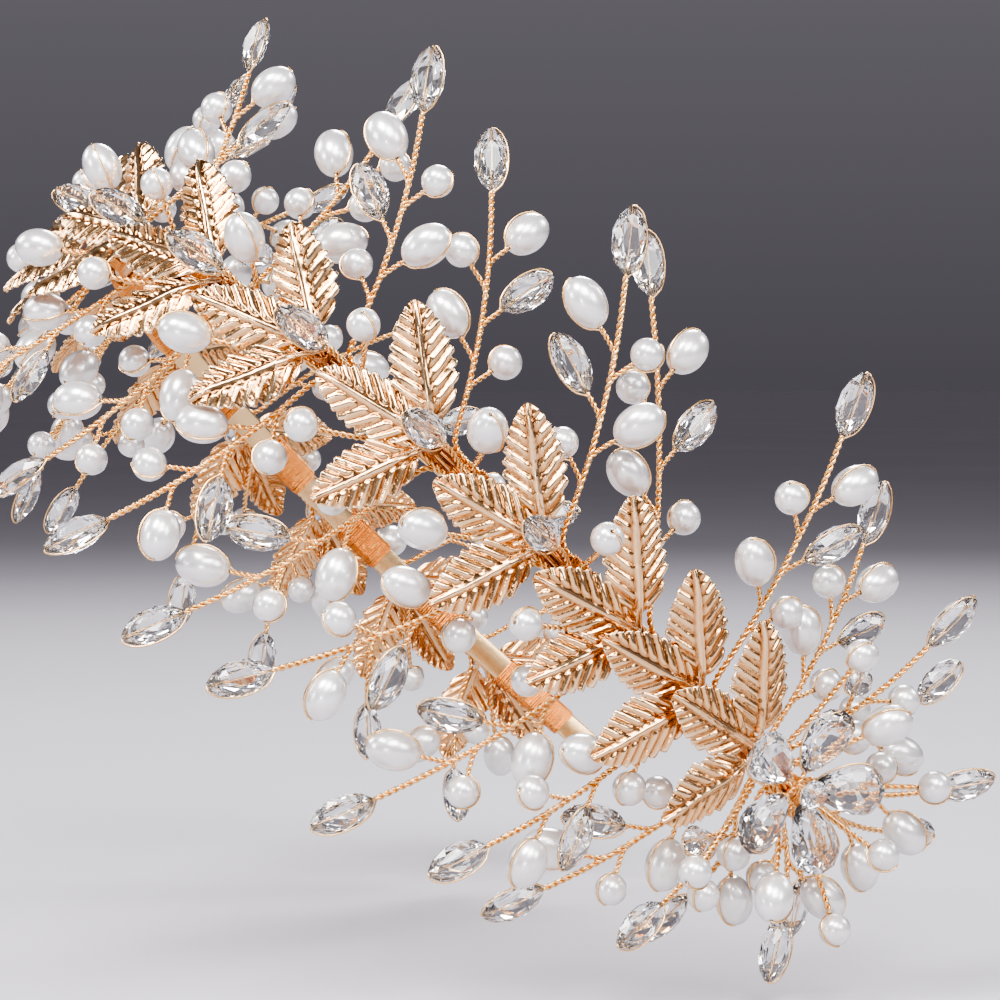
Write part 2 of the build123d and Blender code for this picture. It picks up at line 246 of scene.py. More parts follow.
def filler_at(along, around, angle, lift, length, bead):
    """A single bead on a short stem that springs from the outer side of the core."""
    start = beside_core(along, around)
    _, growth, outward = band_frame(along)
    return Sprig(along, start, leaning(along, 1, angle, lift), outward, growth * -1, length, (),
                 filler_bow, bead)


def station_sprigs(number):
    """The sprigs and single beads of one station."""
    if number == 0:
        return []
    along = stations[number]
    found = [sprig_at(along - 2.0, 1, *upper_sprigs[number - 1]),
             sprig_at(along - 1.0, -1, *lower_sprigs[number - 1])]
    for place, around, angle, lift, length, beads in fillers:
        gap = station_gaps[number] if place < 0 else (station_gaps + (18,))[number + 1]
        if gap > filler_least_gap:
            found.append(filler_at(along + place, around, angle, lift, length, beads[number % 2]))
    return found


def flower_sprigs(side):
    """The sprays and single beads around the flower, on the upper (1) or lower (-1) side of the core."""
    found = [sprig_at(flower_at + place, side, *shape)
             for place, spray_side, *shape in flower_sprays if spray_side == side]
    found += [filler_at(flower_at + place, *shape)
              for place, *shape in flower_fillers if shape[0] * side > 0]
    return found


def flower_spokes():
    """(hub, directions of the five petal wires, outward direction at the hub)."""
    hub, growth, outward = band_frame(flower_at, flower_height)
    found = []
    for number in range(5):
        around = radians(petal_turn + 72 * number)
        flat = growth * cos(around) + above_band * sin(around)
        found.append(turned(flat, outward, flower_dish))
    return hub, found, outward


# ---------------------------------------- mesh code
class Gathered:
    """The points and faces of one piece, with a value at each point for its material."""

    def __init__(self):
        self.points, self.faces, self.values, self.count = [], [], [], 0

    def add(self, points, faces, values=0.0):
        points = np.asarray(points, float).reshape(-1, 3)
        start = self.count
        self.points.append(points)
        self.values.append(np.broadcast_to(np.asarray(values, float), (len(points),)))
        self.faces.extend(tuple(start + corner for corner in face) for face in faces)
        self.count += len(points)

    def piece(self, name, material, node, slot, smooth=True):
        """Makes the Blender object, riding on the frame in place of its CAD node."""
        mesh = bpy.data.meshes.new(name)
        mesh.from_pydata((np.concatenate(self.points) * MM).tolist(), [], self.faces)
        mesh.update()
        mesh.polygons.foreach_set("use_smooth", [smooth] * len(mesh.polygons))
        attribute = mesh.attributes.new("tone", "FLOAT", "POINT")
        attribute.data.foreach_set("value", np.concatenate(self.values).astype(np.float32))
        mesh.materials.append(material)
        made = bpy.data.objects.new(name, mesh)
        bpy.context.scene.collection.objects.link(made)
        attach(made, "root")
        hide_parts(node)


def rows_to_faces(rows, columns):
    """Faces of a skin of rows of points, each row a closed ring, with a cap over each end."""
    faces = []
    for i in range(rows - 1):
        for j in range(columns):
            k = (j + 1) % columns
            faces.append((i * columns + j, i * columns + k, (i + 1) * columns + k, (i + 1) * columns + j))
    faces.append(tuple(range(columns - 1, -1, -1)))
    faces.append(tuple((rows - 1) * columns + j for j in range(columns)))
    return faces


def resampled(path, step):
    """A path through the same places with evenly spaced points."""
    path = np.array([tuple(p) for p in path], float)
    runs = np.linalg.norm(np.diff(path, axis=0), axis=1)
    along = np.concatenate([[0], np.cumsum(runs)])
    count = max(3, int(round(along[-1] / step)) + 1)
    wanted = np.linspace(0, along[-1], count)
    return np.stack([np.interp(wanted, along, path[:, axis]) for axis in range(3)], axis=1)


def frames(path):
    """Two directions square to the path at each of its points, without twist."""
    tangents = np.gradient(path, axis=0)
    tangents /= np.linalg.norm(tangents, axis=1)[:, None]
    first = np.cross(tangents[0], (0.31, 0.87, 0.39))
    normals = [first / np.linalg.norm(first)]
    for tangent in tangents[1:]:
        normal = normals[-1] - tangent * (normals[-1] @ tangent)
        normals.append(normal / np.linalg.norm(normal))
    normals = np.array(normals)
    return normals, np.cross(tangents, normals)


def tube(gathered, path, radius, sides, value):
    """A round wire along a path."""
    path = np.asarray(path, float)
    normals, others = frames(path)
    turns = np.linspace(0, 2 * pi, sides, endpoint=False)
    ring = normals[:, None] * np.cos(turns)[None, :, None] + others[:, None] * np.sin(turns)[None, :, None]
    points = path[:, None] + ring * radius
    gathered.add(points, rows_to_faces(len(path), sides), value)


def twisted(gathered, path, strand_radius, pitch, value, phase=0.0):
    """Two strands of wire twisted together along a path; they draw together over its last millimetre."""
    path = resampled(path, pitch / 9)
    normals, others = frames(path)
    runs = np.concatenate([[0], np.cumsum(np.linalg.norm(np.diff(path, axis=0), axis=1))])
    reach = strand_radius * 0.95 * np.clip(runs[-1] - runs + 0.3, 0, 1)
    for strand in range(2):
        turn = 2 * pi * (runs / pitch + strand / 2) + phase
        offset = normals * np.cos(turn)[:, None] + others * np.sin(turn)[:, None]
        tube(gathered, path + offset * reach[:, None], strand_radius, 6, value)


def lathe(gathered, centre, axis, facing, profile, sides):
    """A closed ring turned about the axis from a profile of (along, out) places."""
    axis, facing = np.array(axis), np.array(facing)
    facing = facing - axis * (facing @ axis)
    facing /= np.linalg.norm(facing)
    other = np.cross(axis, facing)
    turns = np.linspace(0, 2 * pi, sides, endpoint=False)
    around = facing[None] * np.cos(turns)[:, None] + other[None] * np.sin(turns)[:, None]
    profile = np.array(profile, float)
    middles = np.array(centre) + axis * profile[:, 0, None]
    points = middles[:, None] + around[None] * profile[:, 1, None, None]
    rows = len(profile)
    faces = [(i * sides + j, i * sides + (j + 1) % sides, (i + 1) % rows * sides + (j + 1) % sides,
              (i + 1) % rows * sides + j) for i in range(rows) for j in range(sides)]
    gathered.add(points, faces)


def pearl_profile(half, radius, steps):
    """Outline of a drilled pearl from one mouth of its hole to the other and back down the hole."""
    hole = bead_hole_radius * 0.62
    least = np.arcsin(hole * 1.25 / radius)
    turns = np.linspace(least, pi - least, steps)
    skin = [(-half * cos(t), radius * sin(t)) for t in turns]
    lip = half * cos(least)
    mouth = [(-lip + 0.22, hole), (-lip + 0.05, hole * 1.02)]
    return mouth + skin + [(-along, out) for along, out in reversed(mouth)]


def placed_basis(centre, axis, facing):
    """Origin and the three directions of a bead: along its wire, across it and towards its face."""
    x = np.array(axis)
    z = np.array(facing) - x * (np.array(facing) @ x)
    z /= np.linalg.norm(z)
    return np.array(centre), x, np.cross(z, x), z


def gem(gathered, basis, outline, depth, cut, tones):
    """A cut stone: a table, two rows of crown facets, a thin girdle, and facets that meet in a keel.

    The cut is the table's and the crown's size and the keel's half length, as shares of the girdle's.
    """
    centre, x, y, z = basis
    table, crown, keel = cut
    count = len(outline)
    outline = np.array(outline)
    between = (outline + np.roll(outline, -1, axis=0)) / 2
    chosen = outline[::2]
    rings = [(chosen * table, depth), (between * crown, depth * 0.62), (outline, 0.12 * depth),
             (outline, -0.06 * depth), (between * 0.66, -depth * 0.56)]
    end = keel * outline[:, 0].max()
    points = np.concatenate([np.column_stack([ring, np.full(len(ring), height)]) for ring, height in rings]
                            + [[(-end, 0, -depth), (end, 0, -depth)]])
    half = count // 2
    top, mid, upper, lower, under, keel_points = [0] + [half + k * count for k in range(5)]
    faces = [tuple(range(half))]
    for k in range(half):
        after = (k + 1) % half
        a, b = (2 * k) % count, (2 * k + 1) % count
        faces += [(top + k, mid + (a - 1) % count, mid + a), (top + k, mid + a, top + after)]
        faces.append((top + after, mid + a, mid + b))
    for k in range(count):
        after = (k + 1) % count
        faces += [(mid + k, upper + k, upper + after), (mid + k, upper + after, mid + after),
                  (upper + k, lower + k, lower + after, upper + after),
                  (under + k, lower + after, lower + k), (under + k, under + after, lower + after)]
        keel_point = keel_points + (1 if between[k][0] > 0 else 0)
        keel_after = keel_points + (1 if between[after][0] > 0 else 0)
        faces.append((under + k, keel_point, under + after))
        if keel_point != keel_after:
            faces.append((keel_point, keel_after, under + after))
    space = centre + points[:, 0, None] * x + points[:, 1, None] * y + points[:, 2, None] * z
    corners = [c for face in faces for c in face]
    split_faces, start = [], 0
    for face in faces:
        split_faces.append(tuple(range(start, start + len(face))))
        start += len(face)
    # Each facet gets its own random tone, which on the crystal material tints some facets grey as a painted
    # reflection.
    values = np.concatenate([np.full(len(face), tones.random()) for face in faces])
    gathered.add(space[corners], split_faces, values)


def boat_outline(half, width, count):
    """A boat-shaped girdle with a small blunt end at each tip."""
    turns = [2 * pi * (k + 0.5) / count for k in range(count)]
    return [(half * 1.02 * cos(t) / cos(pi / count), width * sin(t) * abs(sin(t)) ** 0.28) for t in turns]


def pear_outline(half, width, count):
    """A pear-shaped girdle, blunt towards +X."""
    turns = [2 * pi * k / count for k in range(count)]
    return [(half * cos(t), width * sin(t) * (0.8 + 0.28 * cos(t))) for t in turns]


# ---------------------------------------- materials
def set_stops(node, stops):
    """Gives a colour ramp its (place, colour) stops."""
    while len(node.color_ramp.elements) < len(stops):
        node.color_ramp.elements.new(0.5)
    for element, (place, colour) in zip(node.color_ramp.elements, stops):
        element.position = place
        element.color = (*colour, 1)


grain_depth = 0.02 * MM


class Nodes:
    """A procedural material, built node by node around one Principled shader."""

    def __init__(self, name, **sockets):
        self.material = bpy.data.materials.new(name)
        self.material.use_nodes = True
        self.tree = self.material.node_tree
        self.shader = self.tree.nodes["Principled BSDF"]
        for socket, value in sockets.items():
            self.shader.inputs[socket.replace("_", " ")].default_value = value
        self.place = self.add("ShaderNodeTexCoord").outputs["Object"]
        self.tone = self.add("ShaderNodeAttribute")
        self.tone.attribute_name = "tone"

    def add(self, kind, **settings):
        node = self.tree.nodes.new(kind)
        for setting, value in settings.items():
            setattr(node, setting, value)
        return node

    def link(self, source, target):
        self.tree.links.new(source, target)
        return self

    def noise(self, scale, detail):
        node = self.add("ShaderNodeTexNoise")
        node.inputs["Scale"].default_value = scale
        node.inputs["Detail"].default_value = detail
        self.link(self.place, node.inputs["Vector"])
        return node.outputs["Fac"]

    def ramp(self, source, *stops):
        """A colour ramp of (place, colour) stops."""
        node = self.add("ShaderNodeValToRGB")
        set_stops(node, stops)
        self.link(source, node.inputs["Fac"])
        return node.outputs["Color"]

    def ranged(self, source, low, high):
        """The source, which runs from 0 to 1, spread over another range."""
        node = self.add("ShaderNodeMapRange")
        node.inputs["To Min"].default_value = low
        node.inputs["To Max"].default_value = high
        self.link(source, node.inputs["Value"])
        return node.outputs["Result"]

    def grain(self, height):
        """Fine unevenness of the surface, which breaks up its gloss."""
        node = self.add("ShaderNodeBump")
        node.inputs["Distance"].default_value = grain_depth
        node.inputs["Strength"].default_value = 1.0
        self.link(height, node.inputs["Height"])
        self.link(node.outputs["Normal"], self.shader.inputs["Normal"])
        return self

    def colour(self, source):
        return self.link(source, self.shader.inputs["Base Color"])

    def roughness(self, source):
        return self.link(source, self.shader.inputs["Roughness"])


def metal(name, deep, middle, bright, rough, grain):
    """Plated metal: the tone runs from a dark colour to a light one; where it follows a piece's relief it
    paints shade into the recesses and highlights on the ridges and edges. Fine grain breaks up its gloss.
    """
    made = Nodes(name, Metallic=1.0)
    made.colour(made.ramp(made.tone.outputs["Fac"], (0.0, deep), (0.45, middle), (1.0, bright)))
    made.roughness(made.ranged(made.noise(900, 4), *rough))
    made.grain(made.noise(grain, 4))
    return made.material


gold_wire = metal("gold_wire", (0.60, 0.25, 0.07), (0.86, 0.50, 0.21), (0.98, 0.70, 0.40), (0.18, 0.32), 1600)
copper_wire = metal("copper_wire", (0.55, 0.16, 0.03), (0.82, 0.35, 0.11), (0.95, 0.54, 0.24), (0.18, 0.34),
                    1600)
# On leaf_gold the dark end is painted shade in the leaves' recesses and the light end is painted highlights on
# their ridges and rims.
leaf_gold = metal("leaf_gold", (0.36, 0.10, 0.02), (0.83, 0.50, 0.25), (0.97, 0.80, 0.58), (0.12, 0.26), 700)
# On band_gold the light end is a painted highlight on the headband's rolled edges.
band_gold = metal("band_gold", (0.70, 0.42, 0.20), (0.86, 0.60, 0.33), (0.95, 0.78, 0.54), (0.16, 0.30), 500)


def pearl_coat():
    """White imitation pearl: a soft metallic lustre under a clear coat."""
    made = Nodes("pearl", Metallic=0.45, IOR=1.6, Specular_IOR_Level=0.6, Coat_Weight=1.0,
                 Coat_Roughness=0.14, Coat_IOR=1.6)
    made.colour(made.ramp(made.noise(260, 2), (0.3, (0.74, 0.71, 0.70)), (0.55, (0.81, 0.79, 0.78)),
                          (0.8, (0.77, 0.76, 0.78))))
    made.roughness(made.ranged(made.noise(500, 3), 0.26, 0.36))
    made.grain(made.noise(380, 3))
    return made.material


def cut_glass():
    """Clear glass; the facets' random tone tints some of them grey, a painted reflection of dark surroundings.
    """
    made = Nodes("crystal", Transmission_Weight=0.97, IOR=1.7, Roughness=0.01)
    made.colour(made.ramp(made.tone.outputs["Fac"], (0.0, (0.76, 0.77, 0.80)), (0.25, (0.97, 0.97, 0.98)),
                          (1.0, (1.0, 1.0, 1.0))))
    made.roughness(made.ranged(made.noise(300, 2), 0.0, 0.03))
    return made.material


pearl = pearl_coat()
crystal = cut_glass()


# ---------------------------------------- headband: a flat strip with rolled edges and rounded ends
def strip():
    made = Gathered()
    rows = 500
    edge = [(cos(t), sin(t)) for t in np.linspace(0, 2 * pi, 16, endpoint=False)]
    soft = 0.35
    points, tones = [], []
    for along in np.linspace(0, band_length, rows):
        inset = end_corner_radius - min(along, band_length - along)
        half = band_width / 2
        if inset > 0:
            half -= end_corner_radius - (max(end_corner_radius ** 2 - inset ** 2, 0)) ** 0.5
        half = max(half, 0.45)
        for c, s in edge:
            above = (half - soft) * np.sign(round(c, 6)) * min(1, abs(c) * 2.4) + soft * c
            out = (band_thick / 2 - soft) * np.sign(round(s, 6)) + soft * s
            place, _, _ = band_frame(along, out, above)
            points.append(tuple(place))
            # Painted highlight: the tone is lighter on the strip's rolled edges.
            tones.append(0.45 + 0.4 * abs(c) ** 6)
    made.add(points, rows_to_faces(rows, len(edge)), tones)
    return made


strip().piece("gold_headband", band_gold, "headband", "gold_band")

# ---------------------------------------- vine core: the stem wires, laid together along the band
core_outward = band_thick / 2 + core_radius
lay_length = 34.0
bundle_reach, bundle_wire = 0.86, 0.42
core = Gathered()
core_steps = np.arange(core_end_gap, band_length - core_end_gap + 0.1, 0.9)
for strand in range(8):
    reach = 0 if strand == 7 else bundle_reach
    path = []
    for along in core_steps:
        turn = 2 * pi * (along / lay_length + strand / 7)
        path.append(band_frame(along, core_outward + reach * cos(turn), reach * sin(turn))[0])
    tube(core, path, bundle_wire, 8, 0.35 + 0.05 * strand)
core.piece("stem_bundle", copper_wire, "vine_core", "gold_wire")


# ---------------------------------------- binding wire: close turns around the band and the stem bundle
def binding_outline(margin):
    """Evenly spaced (above, outward) places on a taut loop around the band, the bundle and two stems."""
    around = [(x * band_width / 2, y * band_thick / 2) for x in (-1, 1) for y in (-1, 1)]
    for x, radius in ((0, core_radius), (-1.8, stem_radius), (1.8, stem_radius)):
        around += [(x + radius * cos(t), core_outward + radius * sin(t)) for t in np.linspace(0, 2 * pi, 24)]
    around = np.array(around)
    turns = np.linspace(0, 2 * pi, 240, endpoint=False)
    directions = np.stack([np.cos(turns), np.sin(turns)], axis=1)
    support = np.array([around[np.argmax(around @ d)] for d in directions]) + directions * margin
    return resampled(np.column_stack([support, np.zeros(240)])[list(range(240)) + [0]], 0.36)[:-1, :2]


binding = Gathered()
binding_radius = 0.19
turn_pitch = binding_radius * 2.15
wrap_from, wrap_to = 4.0, 13.5
outline = binding_outline(binding_radius)
windings = [(along + wrap_from, along + wrap_to) for along, gap in zip(stations, station_gaps[1:] + (20.5,))
            if gap > filler_least_gap]
windings += [(stations[-1] + 14.0, stations[-1] + 19.0), (7.5, 12.5)]
shake = Random(5)
for start, end in windings:
    along, path = start, []
    while along < end:
        lean = shake.uniform(-0.12, 0.12)
        proud = shake.uniform(0, 0.10)
        for k, (above, out) in enumerate(outline):
            along += turn_pitch / len(outline)
            middle = (out - core_outward) / 3
            leaning_along = along + lean * sin(2 * pi * k / len(outline))
            place, _, _ = band_frame(leaning_along, out + proud * middle, above * (1 + 0.03 * proud))
            path.append(place)
    tube(binding, path, binding_radius, 6, shake.uniform(0.3, 0.6))
binding.piece("binding_turns", copper_wire, "binding_wire", "gold_wire")


# ---------------------------------------- leaf trefoils: pressed leaves with ribs, veins and toothed edges
leaf_rows, leaf_half_columns = 104, 13
leaf_thick = 0.28
stalk_share = 0.14
vein_gap, vein_slant, vein_curve = 2.0, 0.80, 0.03
pleat_depth, tooth_share = 0.62, 0.20
rib_half_width, rib_height, rib_groove = 0.74, 1.05, 0.42
ruffle_height, wave_height = 0.34, 0.55
leaf_rest = 0.45


def vein_phase(x, out, seed):
    """How many veins lie before a place on a leaf; they slant and curve away from the midrib."""
    return (x - vein_slant * out - vein_curve * out ** 2 + seed) / vein_gap


def sheet_faces(rows, columns):
    """Faces of a thin sheet: its front, its back, whose points follow the front's, and its rim."""
    count = rows * columns
    faces = []
    for i in range(rows - 1):
        for j in range(columns - 1):
            a, b = i * columns + j, i * columns + j + 1
            c, d = a + columns, b + columns
            faces.append((a, c, d, b))
            faces.append((count + a, count + b, count + d, count + c))
    rim = list(range(columns)) + [i * columns + columns - 1 for i in range(1, rows)]
    rim += [(rows - 1) * columns + j for j in range(columns - 2, -1, -1)]
    rim += [i * columns for i in range(rows - 2, 0, -1)]
    for a, b in zip(rim, rim[1:] + rim[:1]):
        faces.append((a, b, count + b, count + a))
    return faces


def leaf(made, hub, along, across, outward, length, width, raised, seed):
    """One pressed leaf of real thickness, with a double midrib, rounded pleats and a toothed edge."""
    t = np.linspace(0.0, 1.0, leaf_rows)[:, None]
    k = np.linspace(-1.0, 1.0, 2 * leaf_half_columns + 1)[None, :]
    half = width / 2 * np.sin(pi * np.clip((t - stalk_share) / (1 - stalk_share), 0, 1) ** 0.84) ** 0.62
    half = np.maximum(half, 0.50 * (1 - t) + 0.05)
    lobe = np.abs(np.sin(pi * vein_phase(t * length, half, seed))) ** 0.7
    half = half * (1 + tooth_share * (lobe - 0.75) * np.sin(pi * t) ** 0.5)
    x = t * length
    y = k * half
    out = np.abs(y)
    phase = vein_phase(x, out, seed)
    bulge = np.abs(np.sin(pi * phase)) ** 0.75
    beside = np.clip((out - 0.5) / 0.8, 0, 1)
    relief = pleat_depth * bulge * beside * np.clip(half / 2, 0, 1)
    rib_half = rib_half_width * (1 - 0.55 * t)
    rib = np.clip(1 - (y / rib_half) ** 2, 0, 1) ** 0.5
    groove = np.exp(-(y / (0.26 * rib_half)) ** 2)
    relief = relief + (rib_height - 0.50 * t) * rib - rib_groove * groove * (1 - 0.5 * t)
    slope = 0.24 * out + 0.030 * out ** 2
    ruffle = ruffle_height * np.sin(pi * (phase - 0.25)) * np.abs(k) ** 3 * np.sin(pi * t)
    ruffle = ruffle + wave_height * np.sin(2.2 * pi * t + seed) * np.sin(pi * t)
    distance = np.sqrt(x ** 2 + y ** 2)
    rise = distance * tan(radians(leaf_lift)) - distance ** 2 / (2 * leaf_curl_radius)
    height = rise + relief + ruffle - slope + raised * np.clip(1 - t * 1.5, 0, 1) + leaf_rest
    front = hub + x[..., None] * along + y[..., None] * across + height[..., None] * outward
    edge = np.clip((1 - np.abs(k)) / 0.2, 0.35, 1)
    back = front - (leaf_thick * edge)[..., None] * outward * np.ones_like(x)[..., None]
    # Painted light: the tone is dark in the midrib's groove and between the pleats, which is painted shade in
    # the recesses, and light on the pleats' crowns, the midrib and the rim, which is painted highlights. It
    # also rises a little towards the tip, and the back takes a paler copy.
    tone = 0.05 + 0.55 * bulge * beside + 0.85 * rib - 0.5 * groove + 0.22 * (np.abs(k) > 0.9) + 0.12 * t
    tone = np.clip(tone, 0, 1)
    both = np.concatenate([front.reshape(-1, 3), back.reshape(-1, 3)])
    tones = np.concatenate([tone.ravel(), 0.30 + 0.45 * tone.ravel()])
    made.add(both, sheet_faces(*y.shape), tones)


for number, along in enumerate(stations, start=1):
    vary = Random(100 + number)
    place, growth, outward = (np.array(v) for v in band_frame(along, hub_height))
    above = np.array(above_band)
    trefoil = Gathered()
    for order, angle in enumerate(leaf_angles):
        turn = radians(angle + vary.uniform(-2, 2))
        direction = growth * cos(turn) + above * sin(turn)
        sideways = above * cos(turn) - growth * sin(turn)
        roll = radians(vary.uniform(-9, 9))
        rolled = sideways * cos(roll) + outward * sin(roll), outward * cos(roll) - sideways * sin(roll)
        leaf(trefoil, place, direction, *rolled, leaf_length * vary.uniform(0.93, 1.0),
             leaf_width * vary.uniform(1.0, 1.1), 0.5 if order == 1 else 0.0, vary.uniform(0, 1.5))
    foot = [place + growth * 0.8 + outward * 0.5, place - outward * 0.1, place - growth * 1.2 - outward * 0.7,
            place - growth * 4.5 - outward * 0.85]
    for side in (-0.55, 0.0, 0.55):
        stalk = [p + above * side * (0.6 + 0.4 * i) for i, p in enumerate(foot)]
        tube(trefoil, resampled(stalk, 0.4), 0.36, 8, 0.2)
    for turn_radius, height in ((1.25, 0.15), (1.15, 0.5), (1.3, -0.25)):
        ring = [place + outward * (height + 0.15 * sin(3 * t))
                + (growth * cos(t) + above * sin(t)) * turn_radius for t in np.linspace(0, 2 * pi * 1.15, 22)]
        tube(trefoil, ring, 0.24, 6, 0.15)
    trefoil.piece(f"leaves_{number:02d}", leaf_gold, f"leaf_trefoil_{number:02d}", "champagne_gold_leaf")


# ---------------------------------------- wires: twisted stems and twigs, and a thin loop at each bead
stem_strand, stem_pitch = 0.26, 2.3
twig_strand, twig_pitch = 0.22, 1.9
loop_wire = 0.15
lead_in, short_lead_in, short_stem = 17.0, 7.0, 16


def bead_reach(bead, share):
    """Half width of a bead at a share of its length, where its loop lies."""
    round_share = max(1 - share ** 2, 0) ** 0.5
    return {"round": pearl_radius, "oval": oval_radius, "navette": navette_half_width * 0.93,
            "brilliant": brilliant_radius}[bead] * round_share


def bead_loop(made, bead, centre, axis, facing, side):
    """The strand that goes through a bead and comes back along one side of it."""
    centre, x, y, z = placed_basis(centre, axis, facing)
    half = bead_half_length(bead)
    lie = y * side * 0.96 + z * 0.28
    lie /= np.linalg.norm(lie)
    path = [centre + x * reach for reach in (-half - 0.6, -half * 0.5, half * 0.6, half + 0.12)]
    for share in np.linspace(0.97, -0.98, 15):
        path.append(centre + x * half * share * 1.03 + lie * (bead_reach(bead, abs(share)) + 0.13))
    path.append(centre - x * (half + 0.7))
    tube(made, resampled(path, 0.42), loop_wire, 5, 0.75)


def sprig_wires(made, sprig, number):
    """The twisted stem, its lead-in along the core, its twigs and its bead loops."""
    base, _, outward = band_frame(sprig.along)
    out, above = (sprig.start - base).dot(outward), (sprig.start - base).dot(above_band)
    lead = min(short_lead_in if sprig.length < short_stem else lead_in, sprig.along - core_end_gap - 0.5)
    path = [band_frame(sprig.along - lead * share, out, above)[0] for share in np.linspace(1, 0.06, 16)]
    path += [sprig.stem_point(share) for share in np.linspace(0.03, 1, 40)]
    fine = resampled(path, 0.9)
    for _ in range(3):
        fine[1:-1] = (fine[:-2] + 2 * fine[1:-1] + fine[2:]) / 4
    twisted(made, fine, stem_strand, stem_pitch, 0.62, number * 0.7)
    for order, (share, root, slope, lean) in enumerate(sprig.twigs):
        foot = [root - slope * 1.6, root - slope * 0.5 + lean * 0.15, root + lean * 1.0]
        twig = resampled(foot + [root + lean * reach for reach in (2.2, 3.2, twig_length + 0.1)], 0.3)
        twisted(made, twig, twig_strand, twig_pitch, 0.62, order + number)
    for order, (bead, centre, axis, facing) in enumerate(sprig.beads):
        bead_loop(made, bead, centre, axis, facing, 1 if (order + number) % 2 else -1)


wire_nodes = [(f"sprig_wires_{number + 1:02d}", zone, station_sprigs(number))
              for zone, numbers in zones.items() for number in numbers if station_sprigs(number)]
for side, name in ((1, "upper"), (-1, "lower")):
    wire_nodes.append((f"flower_spray_wires_{name}", "left", flower_sprigs(side)))

placed = {zone: {"round": [], "oval": [], "navette": [], "brilliant": []} for zone in zones}
for name, zone, sprigs in wire_nodes:
    wires = Gathered()
    for number, sprig in enumerate(sprigs):
        sprig_wires(wires, sprig, number)
        for bead, *where in sprig.beads:
            placed[zone][bead].append(where)
    wires.piece(name.replace("wires", "twists"), gold_wire, name, "gold_wire")

# ---------------------------------------- flower: five pear-cut petals and a centre stone
flower_hub, spokes, flower_outward = flower_spokes()
flower_foot = beside_core(flower_at, 0)
flower_twists = Gathered()
twisted(flower_twists, resampled([flower_foot, flower_hub], 0.4), 0.3, 2.3, 0.55)
centre_place = flower_hub + flower_outward * flower_centre_rise
centre_back = centre_place - flower_outward * brilliant_radius
twisted(flower_twists, resampled([flower_hub, centre_back], 0.3), 0.2, 1.8, 0.6)
petal_width = petal_half_width * 1.14
loop_margin = 0.12
petal_cut, boat_cut, round_cut = (0.50, 0.82, 0.25), (0.50, 0.80, 0.45), (0.55, 0.82, 0.10)
round_depth = brilliant_radius * 0.8
for number, spoke in enumerate(spokes, start=1):
    petal_foot = flower_hub + spoke * (petal_ring - petal_half_length)
    twisted(flower_twists, resampled([flower_hub, petal_foot], 0.3), 0.22, 1.8, 0.6)
    centre, x, y, z = placed_basis(flower_hub + spoke * petal_ring, spoke, flower_outward)
    rim = np.array(pear_outline(petal_half_length + loop_margin, petal_width + loop_margin, 48))[8:26]
    loop = [centre + x * a + y * b for a, b in rim]
    tube(flower_twists, resampled([centre + x * petal_half_length * 0.98, *loop], 0.5), 0.16, 6, 0.7)
    petal = Gathered()
    gem(petal, (centre, x, y, z), pear_outline(petal_half_length, petal_width, 14), petal_half_depth,
        petal_cut, Random(40 + number))
    petal.piece(f"petal_stone_{number}", crystal, f"flower_petal_{number}", "crystal", smooth=False)
flower_twists.piece("flower_twists", gold_wire, "flower_wires", "gold_wire")

round_outline = [(brilliant_radius * cos(t), brilliant_radius * sin(t))
                 for t in np.linspace(0, 2 * pi, 16, endpoint=False)]
centre_stone = Gathered()
gem(centre_stone, placed_basis(centre_place, spokes[0], flower_outward), round_outline, round_depth,
    round_cut, Random(77))
centre_stone.piece("centre_stone", crystal, "flower_centre", "crystal", smooth=False)

# ---------------------------------------- pearls and crystals on the sprigs
round_profile = pearl_profile(pearl_radius, pearl_radius, 18)
oval_profile = pearl_profile(oval_half_length, oval_radius, 20)
pearl_sides = 26
boat_shape = boat_outline(navette_half_length * 0.96, navette_half_width, 12)
for zone in zones:
    for bead, profile in (("round", round_profile), ("oval", oval_profile)):
        pearls = Gathered()
        for centre, axis, facing in placed[zone][bead]:
            lathe(pearls, centre, axis, facing, profile, pearl_sides)
        pearls.piece(f"{bead}_pearl_beads_{zone}", pearl, f"{bead}_pearls_{zone}", "pearl")
    stones = Gathered()
    tones = Random(9)
    for centre, axis, facing in placed[zone]["navette"]:
        gem(stones, placed_basis(centre, axis, facing), boat_shape, navette_half_depth, boat_cut, tones)
    stones.piece(f"boat_crystals_{zone}", crystal, f"navette_crystals_{zone}", "crystal", smooth=False)
    if placed[zone]["brilliant"]:
        small = Gathered()
        for centre, axis, facing in placed[zone]["brilliant"]:
            gem(small, placed_basis(centre, axis, facing), round_outline, round_depth, round_cut, tones)
        small.piece(f"small_crystals_{zone}", crystal, f"brilliant_crystals_{zone}", "crystal", smooth=False)

# ---------------------------------------- floor, light and camera
floor_height = cad_box[0][2] - 4 * MM
floor_mesh = bpy.data.meshes.new("floor")
reach, cells = 30.0, 12
grid = [(-reach + 2 * reach * i / cells, -reach + 2 * reach * j / cells, floor_height)
        for i in range(cells + 1) for j in range(cells + 1)]
corners = [i * (cells + 1) + j for i in range(cells) for j in range(cells)]
floor_mesh.from_pydata(grid, [], [(c, c + cells + 1, c + cells + 2, c + 1) for c in corners])
floor_look = Nodes("floor_look", Roughness=0.7, Specular_IOR_Level=0.2)
floor_look.colour(floor_look.ramp(floor_look.noise(3, 3), (0.3, (0.54, 0.52, 0.56)),
                                  (0.7, (0.57, 0.55, 0.59))))
floor_mesh.materials.append(floor_look.material)
floor = bpy.data.objects.new("floor", floor_mesh)
bpy.context.scene.collection.objects.link(floor)

